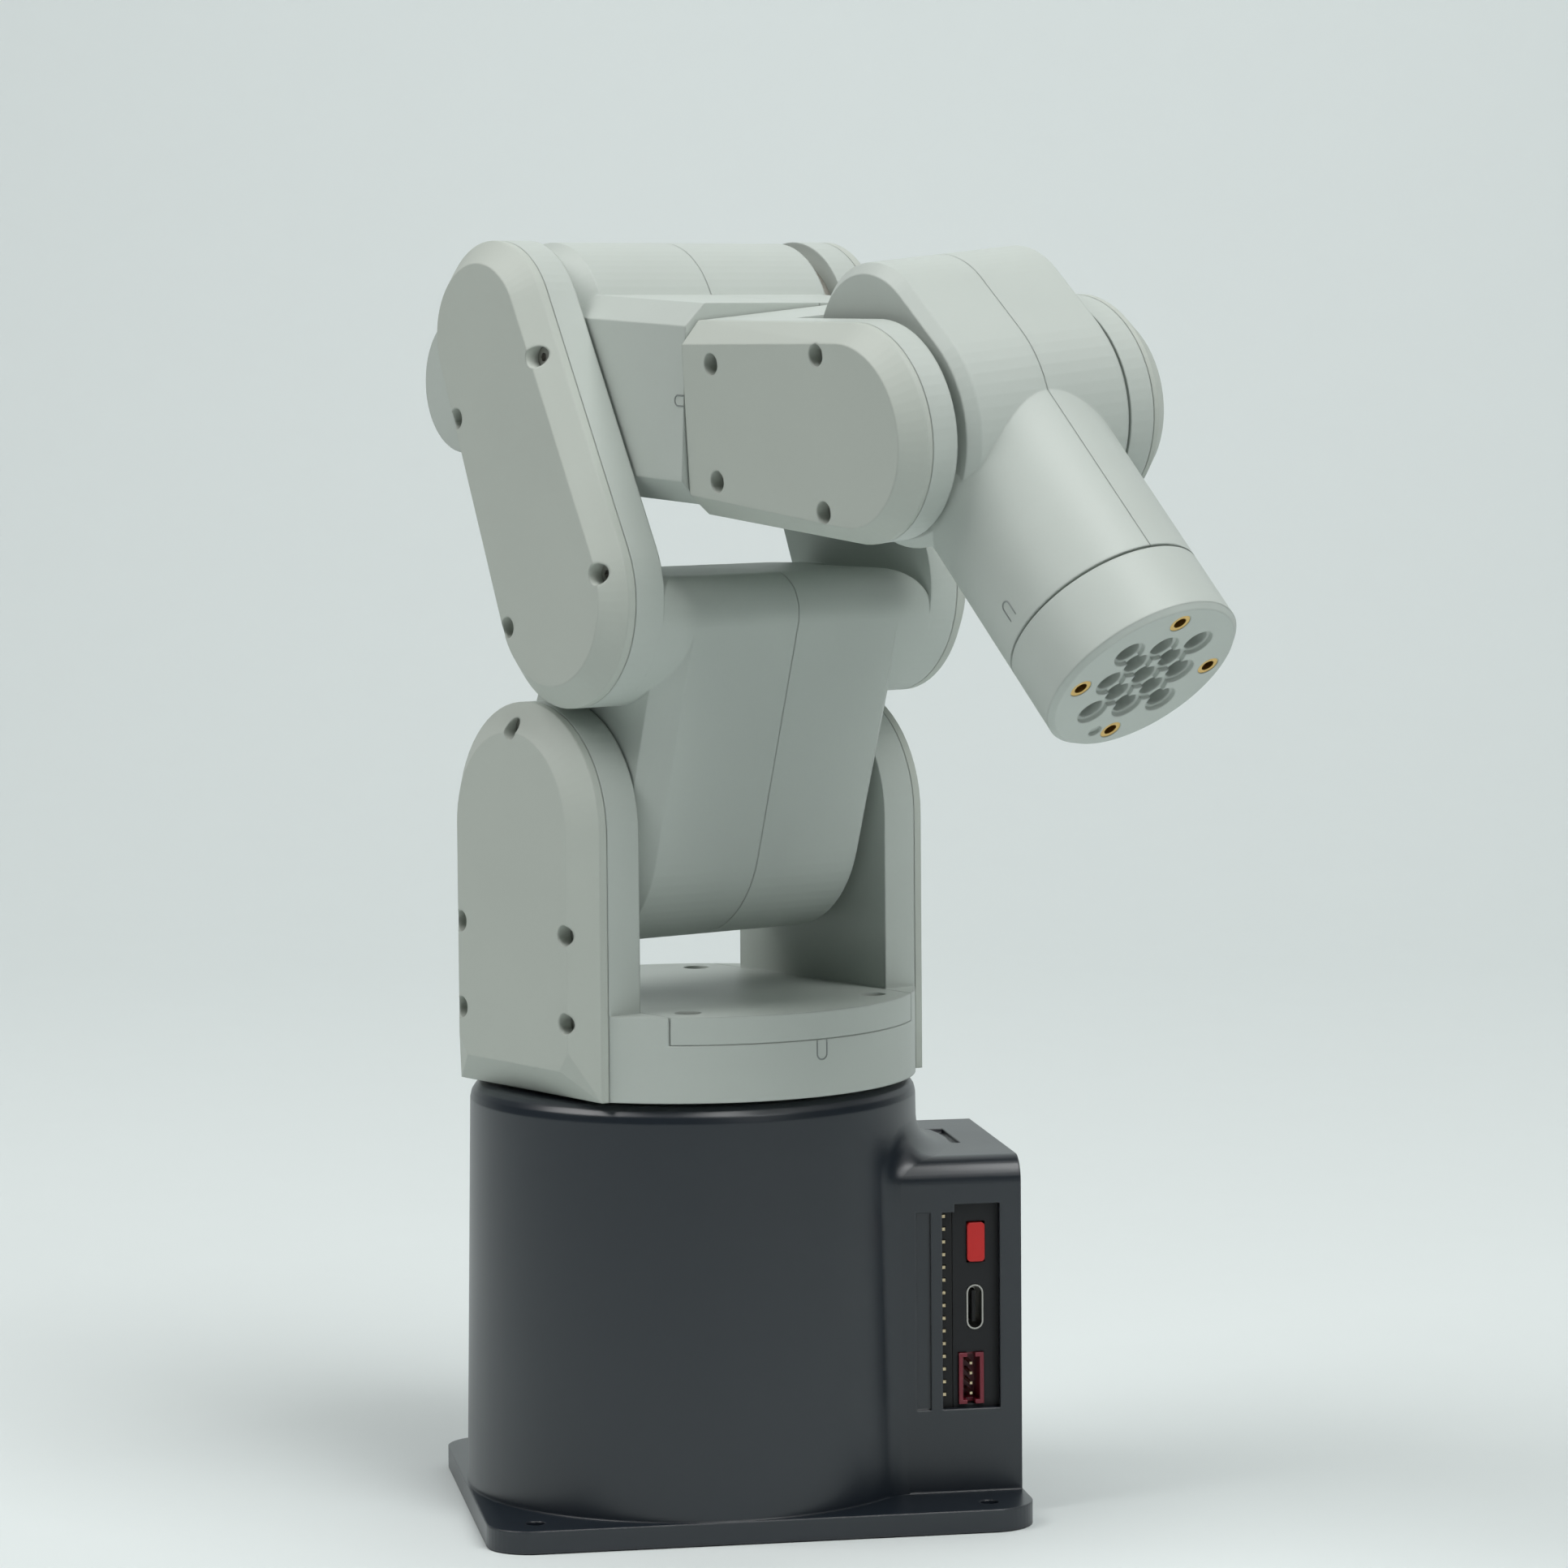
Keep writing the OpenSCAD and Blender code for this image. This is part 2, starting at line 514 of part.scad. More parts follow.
// ---- wrist fork ----
module j4_horn() color(steel) in_fork() difference() {
    union() {
        x_cyl(0, 0, 9, fork_rear - 0.25, fork_rear + 0.3, 48);
        x_cyl(0, 0, 7.5, fork_rear + 0.2, fork_rear + 4, 48);
    }
    for (a = [45:90:315]) x_cyl(5 * cos(a), 5 * sin(a), 1, fork_rear - 2, fork_rear + 6, 24);
}
module fork_side(s) {
    hull() {
        side_cyl(0, 0, fork_r, fork_in, fork_a - 5.4, s);
        side_box(fork_rear, fork_rear + 8, -fork_hh, fork_hh, fork_in, fork_a - 5.4, s);
    }
}
module fork_frame() in_fork() color(light) difference() {
    union() {
        fork_side(1);
        fork_side(-1);
        // yoke that joins the two arms behind the wrist body
        translate([fork_rear, -25.5, -fork_hh]) cube([15.2, 51, 2 * fork_hh]);
    }
    x_cyl(0, 0, 9.2, fork_rear - 1, fork_rear + 0.35, 48);
    x_cyl(0, 0, 7.6, fork_rear - 1, fork_rear + 4, 48);
    x_cyl(0, 0, 5, fork_rear - 1, fork_rear + 30, 32);
    for (s = [-1, 1]) {
        hull() {
            side_cyl(0, 0, 9, fork_in + 3, 40, s, 32);
            side_cyl(-34, 0, 7, fork_in + 3, 40, s, 32);
        }
        for (p = fork_holes) side_cyl(p[0], p[1], 1.25, fork_in + 0.7, 40, s, 24);
    }
    side_cyl(0, 0, 4, 18, 40, -1, 32);
    side_cyl(0, 0, 3, 18, 40, 1, 48);
}
module fork_cover(s) in_fork() color(light) difference() {
    hull() {
        side_cyl(0, 0, fork_r, fork_a - 5.4 + seam, fork_a - 4.2, s);
        side_cyl(0, 0, 16.9, fork_a - 1, fork_a, s);
        side_box(fork_rear, fork_rear + 8, -fork_hh, fork_hh, fork_a - 5.4 + seam, fork_a - 4.2, s);
        side_box(fork_rear, fork_rear + 8, -14.3, 14.3, fork_a - 1, fork_a, s);
    }
    hull() {
        side_cyl(0, 0, 9, 20, fork_a - 3, s, 32);
        side_cyl(-34, 0, 7, 20, fork_a - 3, s, 32);
    }
    for (p = fork_holes) {
        side_cyl(p[0], p[1], 1.35, 20, 60, s, 24);
        side_cyl(p[0], p[1], 2.1, fork_a - 4.2, 60, s, 32);
    }
}
module fork_cover_right() fork_cover(-1);
module fork_cover_left() fork_cover(1);
module fork_cover_screws() color(steel) in_fork() for (s = [-1, 1], p = fork_holes) {
    difference() {
        side_cyl(p[0], p[1], 1.9, fork_a - 4.15, fork_a - 2.65, s, 32);
        side_cyl(p[0], p[1], 0.9, fork_a - 3.3, fork_a - 2, s, 6);
    }
    side_cyl(p[0], p[1], 1.2, fork_a - 9.5, fork_a - 4.1, s, 24);
}
module j5_horn() color(steel) in_fork() difference() {
    union() {
        side_cyl(0, 0, 10, 18.6, fork_in - 0.01, -1, 48);
        side_cyl(0, 0, 3.9, fork_in - 0.1, fork_in + 4, -1, 32);
    }
    for (a = [0:60:300]) side_cyl(7 * cos(a), 7 * sin(a), 1, 15, 24, -1, 24);
}
module j5_idler() color(steel) in_fork() side_cyl(0, 0, 2.98, 14.9, fork_in + 2.9, 1, 48);

// ---- wrist body ----
module wrist_body(s) {
    end = s > 0 ? 19.9 : 18.4;
    hull() {
        side_cyl(0, 0, wrist_r, 0, end - 2, s);
        side_cyl(0, 0, wrist_r - 2, 0, end, s);
        side_cyl(-14.3, 4.1, 17.2, 0, end - 2, s);
        side_cyl(-14.3, 4.1, 15.2, 0, end, s);
    }
    intersection() {
        x_cyl(0, 0, tube_r, 0, tool_len - 14.8, 96);
        side_box(0, 80, -40, 40, 0, 40, s);
    }
}
module wrist_shell(s) in_wrist() color(light) difference() {
    wrist_body(s);
    side_box(-22, 10, -7.5, 8.5, -1, 12.2, s);
    side_box(14, 44.8, -9, 9, -1, 12.2, s);
    x_cyl(0, 0, 6.3, 40, 60, 48);
    if (s > 0) side_cyl(0, 0, 6.02, 14.4, 30, s, 48);
    if (s < 0) {
        side_cyl(0, 0, 6.3, 10, 30, s, 48);
        side_cyl(0, 0, 10.4, 18.4, 30, s, 48);
    }
}
module wrist_shell_right() wrist_shell(-1);
module wrist_shell_left() difference() {
    wrist_shell(1);
    in_wrist() translate([-80, -20, -80]) cube([200, 20 + seam, 200]);
}
module j5_servo() color([0.12, 0.12, 0.13]) in_wrist() difference() {
    union() {
        translate([-21.8, -12.1, -7.2]) cube([31.6, 24.2, 15.5]);
        side_cyl(0, 0, 6, 11, 18.55, -1, 48);
    }
    translate([-18, -8, 6]) cube([10, 3, 6]);
}
module j5_bearing() color(steel) in_wrist() difference() {
    side_cyl(0, 0, 6, 14.5, 19.8, 1, 48);
    side_cyl(0, 0, 3.04, 12, 24, 1, 48);
}
module j6_servo() color([0.12, 0.12, 0.13]) in_wrist() difference() {
    union() {
        translate([14.2, -12.1, -8.7]) cube([30.1, 24.2, 17.4]);
        x_cyl(0, 0, 6, 44, tool_len - 14.7, 48);
    }
    translate([20, -8, 6]) cube([10, 3, 6]);
}

// ---- tool end ----
module j6_horn() color(steel) in_wrist() difference() {
    x_cyl(0, 0, 9.5, tool_len - 14.6, tool_len - 12, 48);
    for (a = [45:90:315]) x_cyl(6 * cos(a), 6 * sin(a), 1, tool_len - 16, tool_len - 10, 24);
}
module tool_flange() in_wrist() color(light) difference() {
    union() {
        x_cyl(0, 0, tube_r, tool_len - 14.3, tool_len - 1, 128);
        translate([tool_len - 1.05, 0, 0]) rotate([0, 90, 0])
            cylinder(r1 = tube_r, r2 = tube_r - 1, h = 1.05, $fn = 128);
    }
    x_cyl(0, 0, 9.7, tool_len - 15, tool_len - 11.9, 48);
    // cavity behind the tool plate
    x_cyl(0, 0, 11.5, tool_len - 9.6, tool_len - 6, 64);
    for (i = [-1:1], j = [-1:1]) grid_hole(i * grid, j * grid);
    for (i = [-0.5, 0.5], j = [-0.5, 0.5]) grid_hole(i * grid, j * grid);
    for (a = [0:90:270]) x_cyl(insert_c * cos(a), insert_c * sin(a), 2.1, tool_len - 7, tool_len + 1, 32);
    // index dimple
    x_cyl(-3.9, -14.5, 1.4, tool_len - 0.7, tool_len + 1, 12);
}
module grid_hole(y, z) {
    x_cyl(y, z, grid_r, tool_len - 7, tool_len + 1, 32);
    x_cyl(y, z, 3.1, tool_len - 0.8, tool_len + 1, 32);
}
module tool_inserts() color(brass) in_wrist() for (a = [0:90:270]) difference() {
    x_cyl(insert_c * cos(a), insert_c * sin(a), 2.08, tool_len - 6.9, tool_len - 0.1, 32);
    x_cyl(insert_c * cos(a), insert_c * sin(a), 1.25, tool_len - 8, tool_len + 1, 24);
}

base_shell();
base_floor();
floor_screws();
controller_case();
display_panel();
front_button_left();
front_button_middle();
front_button_right();
power_button();
usb_shell();
usb_tongue();
signal_socket();
signal_pins();
bus_header();
bus_pins();
j1_servo();
j1_horn();
turret_frame();
turret_deck();
deck_screws();
ear_cover_right();
ear_cover_left();
ear_cover_screws();
j2_horn();
j2_idler();
arm_shell_right();
arm_shell_left();
arm_cover_right();
arm_cover_left();
arm_cover_screws();
j2_servo();
j2_bearing();
j3_horn();
j3_idler();
elbow_shell_right();
elbow_shell_left();
j3_servo();
j3_bearing();
j4_servo();
j4_horn();
fork_frame();
fork_cover_right();
fork_cover_left();
fork_cover_screws();
j5_horn();
j5_idler();
wrist_shell_right();
wrist_shell_left();
j5_servo();
j5_bearing();
j6_servo();
j6_horn();
tool_flange();
tool_inserts();
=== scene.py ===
"""Looks for the desktop robot arm: materials, small details, studio and camera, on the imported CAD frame."""
import json
import math

import bmesh
import bpy
from mathutils import Matrix, Vector


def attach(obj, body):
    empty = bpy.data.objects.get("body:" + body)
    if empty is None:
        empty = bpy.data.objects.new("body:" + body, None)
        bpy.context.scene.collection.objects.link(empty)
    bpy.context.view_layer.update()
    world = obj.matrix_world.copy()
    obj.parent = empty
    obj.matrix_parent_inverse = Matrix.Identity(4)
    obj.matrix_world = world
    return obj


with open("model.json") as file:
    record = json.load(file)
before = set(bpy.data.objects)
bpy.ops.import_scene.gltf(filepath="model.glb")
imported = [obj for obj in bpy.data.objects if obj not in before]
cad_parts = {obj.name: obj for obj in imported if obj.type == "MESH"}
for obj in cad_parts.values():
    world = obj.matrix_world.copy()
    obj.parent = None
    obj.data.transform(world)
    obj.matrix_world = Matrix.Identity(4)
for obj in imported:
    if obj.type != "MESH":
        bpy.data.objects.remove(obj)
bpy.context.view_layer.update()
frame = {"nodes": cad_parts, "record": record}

MM = 0.001
nodes = frame["nodes"]

# ---------------------------------------------------------------- placing, as in the CAD source
# rest angles of the turret, forearm, fork and wrist
YAW, FORE, ROLL, PITCH = (math.radians(a) for a in (-62.6, 2.9, 5.4, 44.2))
ELBOW_AT = (-7.88, 0, 233.42)  # elbow axis in the turret's frame, mm
WRIST_AT = (100.95, 0, -10.47)  # wrist axis in the forearm's frame, mm
TURRET = Matrix.Rotation(YAW, 4, "Z")
ELBOW = TURRET @ Matrix.Translation([c * MM for c in ELBOW_AT]) @ Matrix.Rotation(FORE, 4, "Y")
FORK = ELBOW @ Matrix.Translation([c * MM for c in WRIST_AT]) @ Matrix.Rotation(ROLL, 4, "X")
WRIST = FORK @ Matrix.Rotation(PITCH, 4, "Y")


# ---------------------------------------------------------------- materials
MOTTLE_SCALE = 38.0  # slow colour changes, per metre
SPECKLE_SHARE = 0.35  # how much of the fine grain joins the slow mottling
COAT_ROUGH = 0.25
WEAR_AND_HIGHLIGHT_FROM, WEAR_AND_HIGHLIGHT_TO = 0.995, 0.80  # cosine between rounded and flat normal, from no paler edge to full paler edge, which is part wear and part painted edge highlight
PALE_WEAR_AND_HIGHLIGHT = 0.6  # how far a paler edge goes towards white, part wear and part painted highlight


class Tree:
    """A material's node tree with short ways to add nodes."""

    def __init__(self, name, **settings):
        self.material = bpy.data.materials.new(name)
        self.material.use_nodes = True
        self.tree = self.material.node_tree
        self.tree.nodes.clear()
        out = self.node("ShaderNodeOutputMaterial")
        self.bsdf = self.node("ShaderNodeBsdfPrincipled")
        self.link(self.bsdf.outputs[0], out.inputs[0])
        for key, value in settings.items():
            self.bsdf.inputs[key.replace("_", " ")].default_value = value

    def node(self, kind, **inputs):
        made = self.tree.nodes.new(kind)
        for key, value in inputs.items():
            made.inputs[key.replace("_", " ")].default_value = value
        return made

    def link(self, source, target):
        self.tree.links.new(source, target)

    def noise(self, vector, scale, **inputs):
        made = self.node("ShaderNodeTexNoise", Scale=scale, **inputs)
        self.link(vector, made.inputs["Vector"])
        return made.outputs["Fac"]

    def map_range(self, source, **inputs):
        made = self.node("ShaderNodeMapRange", **inputs)
        self.link(source, made.inputs["Value"])
        return made.outputs[0]

    def scaled(self, colour, factor):
        made = self.node("ShaderNodeVectorMath")
        made.operation = "SCALE"
        made.inputs[0].default_value = colour
        self.link(factor, made.inputs["Scale"])
        return made.outputs[0]

    def bump(self, height, strength, distance, normal=None):
        made = self.node("ShaderNodeBump", Strength=strength, Distance=distance)
        self.link(height, made.inputs["Height"])
        if normal is not None:
            self.link(normal, made.inputs["Normal"])
        self.link(made.outputs[0], self.bsdf.inputs["Normal"])


def plastic(name, colour, rough, grain_scale=2600.0, grain=0.05, edge=0.6, wear_and_highlight_gain=0.12,
            mottle=0.03, rough_vary=0.06, specular=0.45, coat=0.0):
    """A moulded surface: fine grain, slow colour and roughness changes, softened edges made slightly paler,
    part wear and part painted highlight.
    """
    t = Tree(name, Metallic=0.0, Specular_IOR_Level=specular, Coat_Weight=coat, Coat_Roughness=COAT_ROUGH)
    place = t.node("ShaderNodeTexCoord").outputs["Object"]
    slow = t.noise(place, MOTTLE_SCALE, Detail=4.0)
    fine = t.noise(place, grain_scale, Detail=3.0, Roughness=0.6)
    # speckle mixed with the mottling drives the colour
    blend = t.node("ShaderNodeMath")
    blend.operation = "MULTIPLY_ADD"
    t.link(fine, blend.inputs[0])
    blend.inputs[1].default_value = SPECKLE_SHARE
    t.link(slow, blend.inputs[2])
    spread = t.map_range(blend.outputs[0], From_Min=0.35, From_Max=1.0, To_Min=1.0 - mottle,
                         To_Max=1.0 + mottle)
    base = t.scaled(colour, spread)
    # slightly paler edges, part wear and part painted edge highlight, found from the rounded normal
    bevel = t.node("ShaderNodeBevel", Radius=edge * MM)
    bevel.samples = 4
    flat = t.node("ShaderNodeNewGeometry").outputs["Normal"]
    dot = t.node("ShaderNodeVectorMath")
    dot.operation = "DOT_PRODUCT"
    t.link(bevel.outputs[0], dot.inputs[0])
    t.link(flat, dot.inputs[1])
    wear_and_highlight = t.map_range(dot.outputs["Value"], From_Min=WEAR_AND_HIGHLIGHT_FROM, From_Max=WEAR_AND_HIGHLIGHT_TO, To_Min=0.0,
                       To_Max=wear_and_highlight_gain)
    patch = t.node("ShaderNodeMath")
    patch.operation = "MULTIPLY"
    t.link(wear_and_highlight, patch.inputs[0])
    t.link(slow, patch.inputs[1])
    mix = t.node("ShaderNodeMix")
    mix.data_type = "RGBA"
    factor, first, second, mixed = mix.inputs[0], mix.inputs[6], mix.inputs[7], mix.outputs[2]
    t.link(patch.outputs[0], factor)
    t.link(base, first)
    second.default_value = (*(c + (1 - c) * PALE_WEAR_AND_HIGHLIGHT for c in colour), 1)
    t.link(mixed, t.bsdf.inputs["Base Color"])
    # roughness varies slowly and with the grain
    t.link(t.map_range(blend.outputs[0], From_Min=0.3, From_Max=1.0, To_Min=rough - rough_vary,
                       To_Max=rough + rough_vary), t.bsdf.inputs["Roughness"])
    t.bump(fine, grain, 0.05 * MM, bevel.outputs[0])
    return t.material


def metal(name, colour, rough, stretch=9.0, scale=900.0, grain=0.25):
    """Turned or stamped metal: fine lines in the tone, roughness and bump, stretched along Z."""
    t = Tree(name, Metallic=1.0)
    place = t.node("ShaderNodeMapping", Scale=(1.0, 1.0, stretch))
    t.link(t.node("ShaderNodeTexCoord").outputs["Object"], place.inputs["Vector"])
    lines = t.noise(place.outputs[0], scale, Detail=3.0)
    t.link(t.scaled(colour, t.map_range(lines, To_Min=0.82, To_Max=1.12)), t.bsdf.inputs["Base Color"])
    t.link(t.map_range(lines, To_Min=max(0.05, rough - 0.1), To_Max=rough + 0.12), t.bsdf.inputs["Roughness"])
    t.bump(lines, grain, 0.02 * MM)
    return t.material


def srgb(r, g, b):
    """Linear colour from 8-bit sRGB."""
    return tuple(((c / 255 + 0.055) / 1.055) ** 2.4 if c > 10 else c / 255 / 12.92 for c in (r, g, b))


MATS = {
    "arm_plastic": plastic("arm_plastic", srgb(187, 194, 188), 0.46),
    "cover_plastic": plastic("cover_plastic", srgb(185, 191, 183), 0.52, mottle=0.025),
    "base_plastic": plastic("base_plastic", srgb(28, 35, 43), 0.32, grain_scale=2200, grain=0.07,
                            wear_and_highlight_gain=0.10, mottle=0.03, specular=0.75, rough_vary=0.02),
    "dark_plastic": plastic("dark_plastic", srgb(24, 25, 28), 0.55, grain=0.15, mottle=0.1, edge=0.3),
    "display": plastic("display", srgb(18, 21, 26), 0.16, grain=0.0, mottle=0.02, coat=0.5, edge=0.3),
    "button_black": plastic("button_black", srgb(34, 35, 38), 0.45, grain=0.1, edge=0.3),
    "button_red": plastic("button_red", srgb(205, 22, 20), 0.38, grain=0.04, edge=0.4, mottle=0.04, coat=0.2),
    "port_black": plastic("port_black", srgb(15, 15, 17), 0.5, grain=0.1, edge=0.1, mottle=0.1),
    "socket_red": plastic("socket_red", srgb(122, 18, 40), 0.34, grain=0.04, edge=0.25, mottle=0.06,
                          coat=0.25),
    "servo": plastic("servo", srgb(30, 31, 34), 0.55, grain=0.2, edge=0.4, mottle=0.08),
    "steel": metal("steel", (0.42, 0.41, 0.39), 0.34),
    "port_steel": metal("port_steel", (0.45, 0.44, 0.41), 0.30, scale=1600.0, grain=0.1),
    "horn_metal": metal("horn_metal", (0.46, 0.44, 0.40), 0.42, stretch=1.0, scale=2200.0),
    "contact_gold": metal("contact_gold", (0.62, 0.52, 0.34), 0.30, scale=2500.0, grain=0.1),
    "insert_brass": metal("insert_brass", (0.74, 0.50, 0.17), 0.30, scale=1800.0, grain=0.2),
}
GROOVE = plastic("groove_shadow", srgb(136, 142, 139), 0.7, grain=0.1, edge=0.1)
SPLIT_ANGLE = 28  # edges sharper than this stay sharp in the shading, degrees

slot_of = {s["node"]: s["material_slot"] for s in frame["record"]["subparts"]}
for name, obj in nodes.items():
    obj.data.materials.clear()
    obj.data.materials.append(MATS[slot_of[name]])
    obj.data.polygons.foreach_set("use_smooth", [True] * len(obj.data.polygons))
    mod = obj.modifiers.new("smooth", "EDGE_SPLIT")
    mod.split_angle = math.radians(SPLIT_ANGLE)


# ---------------------------------------------------------------- small pieces
def mesh_piece(name, verts, faces, body, material):
    """A smooth mesh that rides a body and belongs to a material slot."""
    me = bpy.data.meshes.new(name)
    me.from_pydata([tuple(v) for v in verts], [], faces)
    bm = bmesh.new()
    bm.from_mesh(me)
    bmesh.ops.recalc_face_normals(bm, faces=bm.faces)
    bm.to_mesh(me)
    bm.free()
    me.polygons.foreach_set("use_smooth", [True] * len(me.polygons))
    ob = bpy.data.objects.new(name, me)
    bpy.context.scene.collection.objects.link(ob)
    me.materials.append(material)
    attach(ob, body)


BEAD_R, BEAD_SIDES, BEAD_TAPER = 0.16 * MM, 10, 0.55


def bead(name, points, body, material):
    """A fine round bead along an open line of points, thinner at its two ends."""
    pts = [Vector(p) for p in points]
    verts, faces = [], []
    last = len(pts) - 1
    for i, p in enumerate(pts):
        along = (pts[min(i + 1, last)] - pts[max(i - 1, 0)]).normalized()
        side = along.cross(Vector((0.12, 0.31, 0.94))).normalized()
        up = along.cross(side)
        r = BEAD_R if 0 < i < last else BEAD_R * BEAD_TAPER
        for k in range(BEAD_SIDES):
            t = 2 * math.pi * k / BEAD_SIDES
            verts.append(p + (side * math.cos(t) + up * math.sin(t)) * r)
    for i in range(last):
        for k in range(BEAD_SIDES):
            here, onward = i * BEAD_SIDES, (i + 1) * BEAD_SIDES
            k2 = (k + 1) % BEAD_SIDES
            faces.append((here + k, here + k2, onward + k2, onward + k))
    faces.append(tuple(range(BEAD_SIDES)))
    faces.append(tuple(last * BEAD_SIDES + k for k in range(BEAD_SIDES)))
    mesh_piece(name, verts, faces, body, material)


def u_mark(depth, half, steps=12):
    """Points (along, across) of a U: two legs of that depth and a round end of that half width."""
    pts = [(depth * (1 - i / 4), -half) for i in range(4)]
    for i in range(steps + 1):
        t = math.pi * i / steps
        pts.append((-half * math.sin(t), -half * math.cos(t)))
    return pts + [(depth * (i + 1) / 4, half) for i in range(4)]


# zero marks, all in mm: on the turret disc's front, the forearm block's side and the wrist tube
DISC_R, DISC_MARK_Z, DISC_MARK_TURN = 44.65, 94.2, math.radians(-1.3)
BLOCK_HALF, BLOCK_MARK_AT = 31.42, (49.7, -9.85)
TUBE_R, TUBE_MARK_AT = 19.6, 43.4


def disc_point(along, across):
    turn = DISC_MARK_TURN + across / DISC_R
    return Vector((DISC_R * math.cos(turn), DISC_R * math.sin(turn), DISC_MARK_Z + along)) * MM


def block_point(along, across):
    return Vector((BLOCK_MARK_AT[0] + along, -BLOCK_HALF, BLOCK_MARK_AT[1] + across)) * MM


def tube_point(along, across):
    turn = across / TUBE_R
    return Vector((TUBE_MARK_AT + along, -TUBE_R * math.cos(turn), TUBE_R * math.sin(turn))) * MM


for name, body, pose, point, size in (
        ("turret_zero_mark", "turret", TURRET, disc_point, (2.7, 1.15)),
        ("elbow_zero_mark", "elbow", ELBOW, block_point, (1.9, 1.0)),
        ("wrist_zero_mark", "wrist", WRIST, tube_point, (2.6, 1.05))):
    bead(name, [pose @ point(a, c) for a, c in u_mark(*size)], body, GROOVE)

# concave blend between the round body and the connector box, a ball of BLEND_R rolled along the corner, mm
BLEND_R = 6.0
BOX_HALF, BOX_H, BOX_EDGE = 28.9, 70.9, 5.0
FOOT_TOP = 4.4
BODY_R_LOW, BODY_R_HIGH, BODY_H = 46.0, 44.55, 81.8
RIM, RIM_SINK_BOX, RIM_SINK_BODY = 0.8, 0.04, 0.06
UPRIGHT_STEPS, EDGE_STEPS, ROOF_STEPS, ACROSS = 12, 12, 10, 9


def body_r(z):
    return BODY_R_LOW + (BODY_R_HIGH - BODY_R_LOW) * z / BODY_H


def blend_path():
    """Ball centre and its two touching points, from the foot on one side over the roof to the other."""
    flat_half, shoulder = BOX_HALF - BOX_EDGE, BOX_H - BOX_EDGE
    half = []
    for i in range(UPRIGHT_STEPS + 1):
        z = FOOT_TOP + (shoulder - FOOT_TOP) * i / UPRIGHT_STEPS
        half.append((-(BOX_HALF + BLEND_R), z, (-BOX_HALF, z)))
    for i in range(1, EDGE_STEPS + 1):
        t = math.radians(90 * i / EDGE_STEPS)
        (y, z), touch = ((-flat_half - r * math.cos(t), shoulder + r * math.sin(t))
                         for r in (BOX_EDGE + BLEND_R, BOX_EDGE))
        half.append((y, z, touch))
    for i in range(1, ROOF_STEPS + 1):
        y = -flat_half * (1 - i / ROOF_STEPS)
        half.append((y, BOX_H + BLEND_R, (y, BOX_H)))
    mirrored = [(-y, z, (-ty, tz)) for y, z, (ty, tz) in half[-2::-1]]
    rows = []
    for y, z, (ty, tz) in half + mirrored:
        r = body_r(z) + BLEND_R
        x = math.sqrt(max(r * r - y * y, 0))
        near = (r - BLEND_R) / r
        rows.append((Vector((x, y, z)), Vector((x, ty, tz)), Vector((x * near, y * near, z))))
    return rows


verts, faces = [], []
for centre, on_box, on_body in blend_path():
    a, b = on_box - centre, on_body - centre
    angle = a.angle(b)
    # each rim runs on along its neighbour's surface and just under it, so the shading has no crease
    ring = [on_box + (a * math.cos(angle) - b).normalized() * RIM + a.normalized() * RIM_SINK_BOX]
    for k in range(ACROSS):
        t = k / (ACROSS - 1)
        ring.append(centre + (a * math.sin((1 - t) * angle) + b * math.sin(t * angle)) / math.sin(angle))
    ring.append(on_body + (b * math.cos(angle) - a).normalized() * RIM + b.normalized() * RIM_SINK_BODY)
    verts += [v * MM for v in ring]
per = ACROSS + 2
for i in range(len(verts) // per - 1):
    for k in range(per - 1):
        here, onward = i * per + k, (i + 1) * per + k
        faces.append((here, here + 1, onward + 1, onward))
mesh_piece("base_blend", verts, faces, "base", MATS["base_plastic"])

# ---------------------------------------------------------------- stage, light and camera
# paper sweep, metres: flat floor, a quarter round behind the arm, then a wall
FLOOR_FRONT, FLOOR_BACK, SWEEP_R, WALL_TOP, HALF_WIDTH = -2.2, 0.9, 0.9, 3.0, 4.0
FLOOR_DROP = 0.0002  # keeps the paper just under the feet
LOOK = (0.19, 0.982)  # the way the camera looks, seen from above

paper = plastic("floor_paper", srgb(224, 230, 229), 0.9, grain_scale=900, grain=0.02, mottle=0.004,
                rough_vary=0.02, wear_and_highlight_gain=0.0, specular=0.1)
profile = [(FLOOR_FRONT, 0.0), (FLOOR_BACK, 0.0)]
for degrees in range(6, 91, 6):
    t = math.radians(degrees)
    profile.append((FLOOR_BACK + SWEEP_R * math.sin(t), SWEEP_R - SWEEP_R * math.cos(t)))
profile.append((FLOOR_BACK + SWEEP_R, WALL_TOP))
forward = Vector((*LOOK, 0)).normalized()
right = Vector((forward.y, -forward.x, 0))
sweep = [tuple(forward * y + right * x + Vector((0, 0, z - FLOOR_DROP)))
         for y, z in profile for x in (-HALF_WIDTH, HALF_WIDTH)]
faces = [(2 * i, 2 * i + 1, 2 * i + 3, 2 * i + 2) for i in range(len(profile) - 1)]
me = bpy.data.meshes.new("studio_sweep")
me.from_pydata(sweep, [], faces)
me.polygons.foreach_set("use_smooth", [True] * len(me.polygons))
backdrop = bpy.data.objects.new("studio_sweep", me)
bpy.context.scene.collection.objects.link(backdrop)
me.materials.append(paper)

MIDDLE = (0, 0, 0.2)


def area(name, place, target, size, power, colour):
    """A soft rectangular light at place, aimed at target; metres and watts."""
    data = bpy.data.lights.new(name, "AREA")
    data.shape = "RECTANGLE"
    data.size, data.size_y = size
    data.energy = power
    data.color = colour
    ob = bpy.data.objects.new(name, data)
    ob.location = place
    ob.rotation_euler = (Vector(target) - Vector(place)).to_track_quat("-Z", "Y").to_euler()
    bpy.context.scene.collection.objects.link(ob)


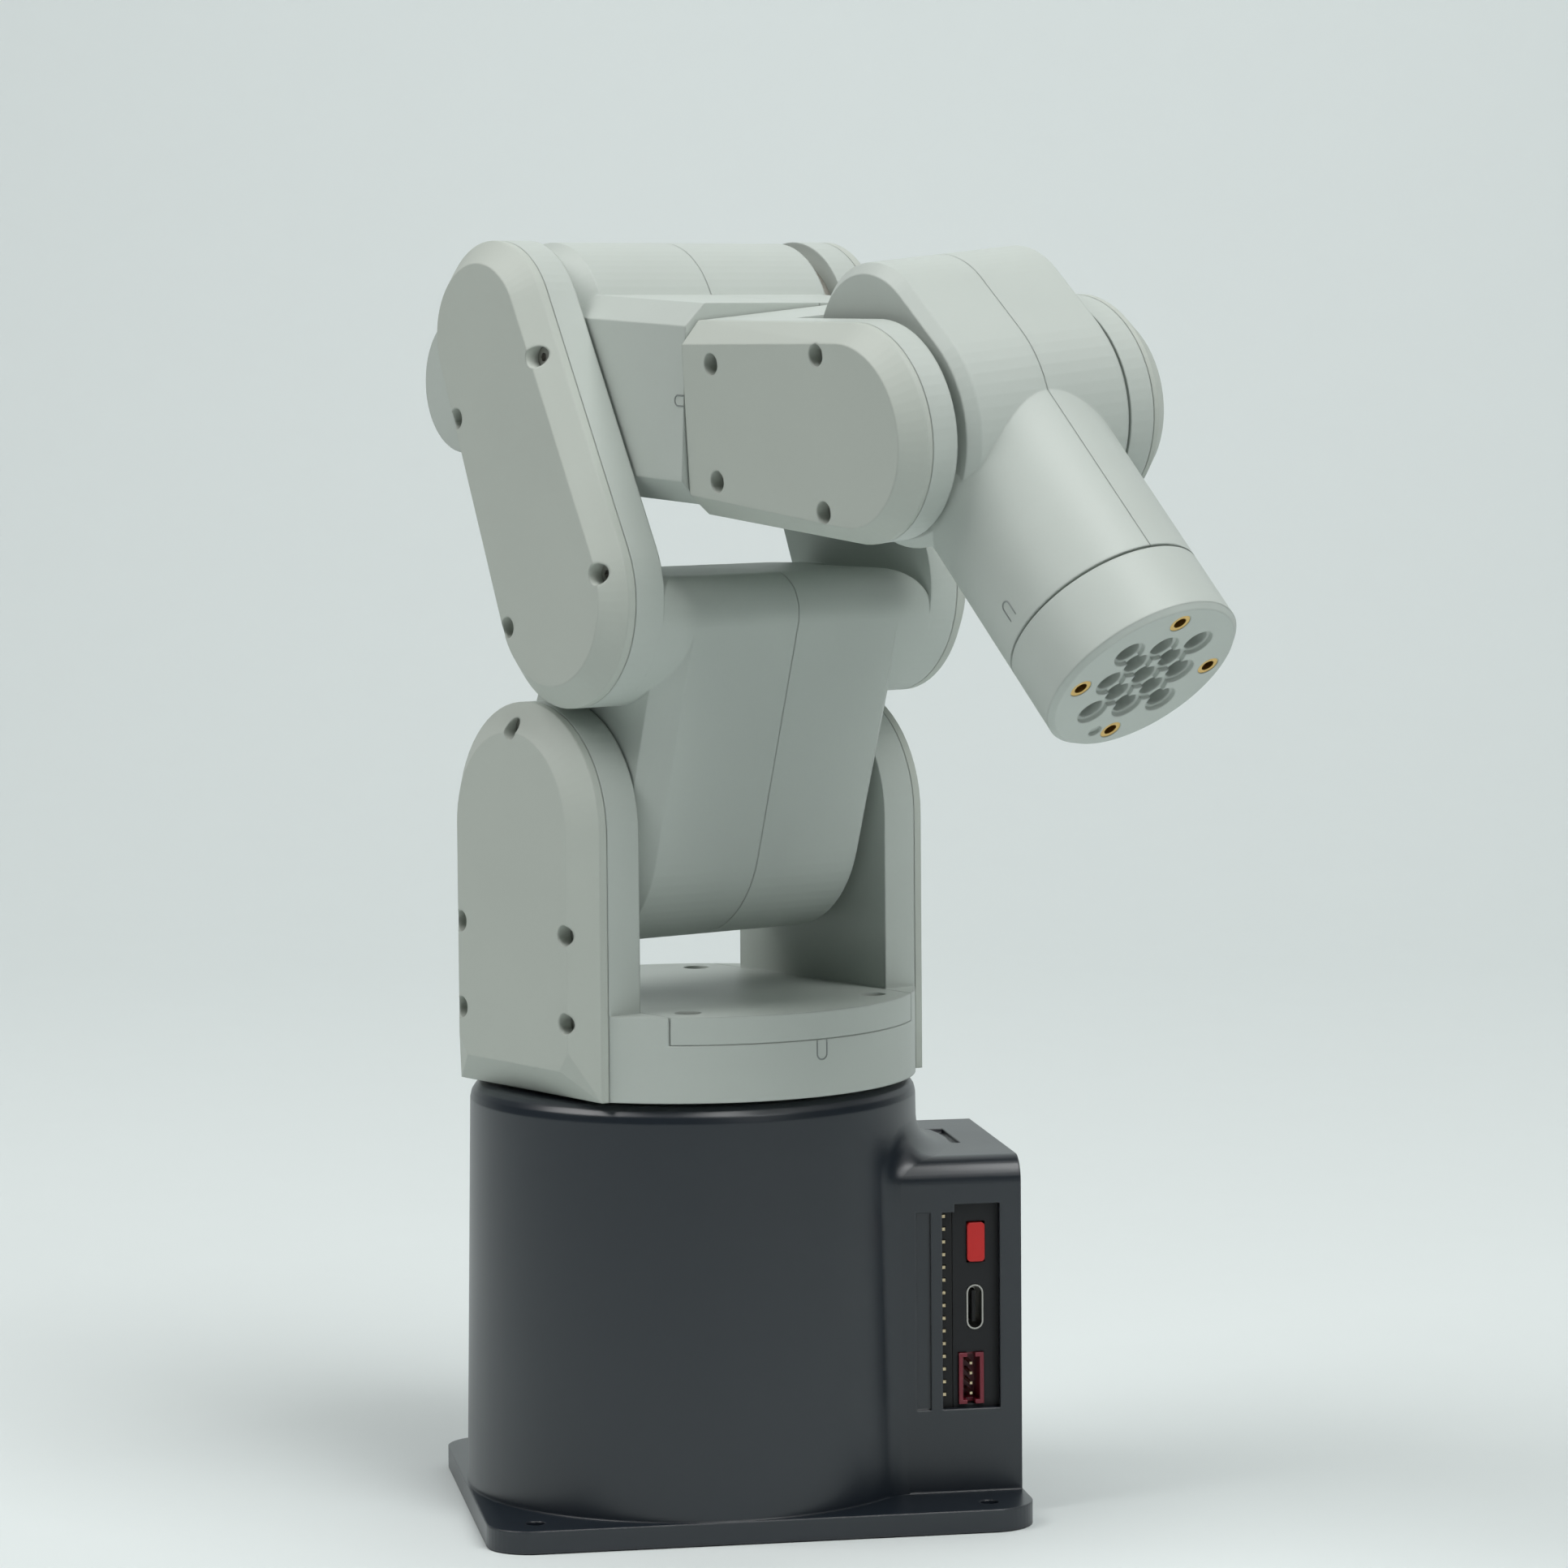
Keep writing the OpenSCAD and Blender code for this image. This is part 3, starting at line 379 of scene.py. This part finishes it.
area("key_right", (0.35, -0.65, 1.45), MIDDLE, (0.8, 0.8), 12.6, (0.99, 1.0, 1.0))
area("fill_right", (0.62, -1.1, 1.05), MIDDLE, (0.7, 0.7), 4.7, (0.98, 1.0, 1.0))
area("key_left", (-0.9, -0.1, 1.3), MIDDLE, (0.9, 0.9), 11.8, (1.0, 1.0, 1.0))
area("top_right", (0.9, -0.1, 1.3), MIDDLE, (0.9, 0.9), 1.2, (0.98, 1.0, 1.0))
area("back_right", (1.1, 0.5, 0.7), MIDDLE, (0.7, 0.7), 0.6, (0.97, 1.0, 1.0))
area("back_wash", (0.3, 1.0, 1.6), (0.3, 1.8, 0.8), (2.2, 0.8), 11.5, (0.97, 1.0, 1.0))

scene = bpy.context.scene
world = bpy.data.worlds.new("studio")
scene.world = world
world.use_nodes = True
sky_colour, sky_strength = world.node_tree.nodes["Background"].inputs[:2]
sky_colour.default_value = (*srgb(214, 224, 224), 1)
sky_strength.default_value = 0.04

scene.view_settings.view_transform = "Standard"
scene.view_settings.look = "None"

# camera fitted to the object's own lines; focal length and shifts were found for a frame FRAME_PX wide
FRAME_PX, SENSOR = 1932.0, 36.0
FOCAL_PX, SHIFT_X_PX, SHIFT_Y_PX = 6715.4, -226.2, -112.6
CAM_AT = (-0.152236, -1.076082, 0.235653)
CAM_FORWARD = (0.19003276, 0.97942568, -0.06791817)
CAM_RIGHT = (0.98160264, -0.19085019, -0.00569683)
CAM_UP = (0.01854182, 0.06558607, 0.99767463)

cam_data = bpy.data.cameras.new("camera")
cam = bpy.data.objects.new("camera", cam_data)
scene.collection.objects.link(cam)
scene.camera = cam
cam_data.sensor_width = SENSOR
cam_data.lens = FOCAL_PX / FRAME_PX * SENSOR
cam_data.shift_x = SHIFT_X_PX / FRAME_PX
cam_data.shift_y = SHIFT_Y_PX / FRAME_PX
cam_data.clip_start, cam_data.clip_end = 0.05, 20.0
axes = Matrix([(r, u, -f) for r, u, f in zip(CAM_RIGHT, CAM_UP, CAM_FORWARD)])
cam.matrix_world = Matrix.Translation(CAM_AT) @ axes.to_4x4()
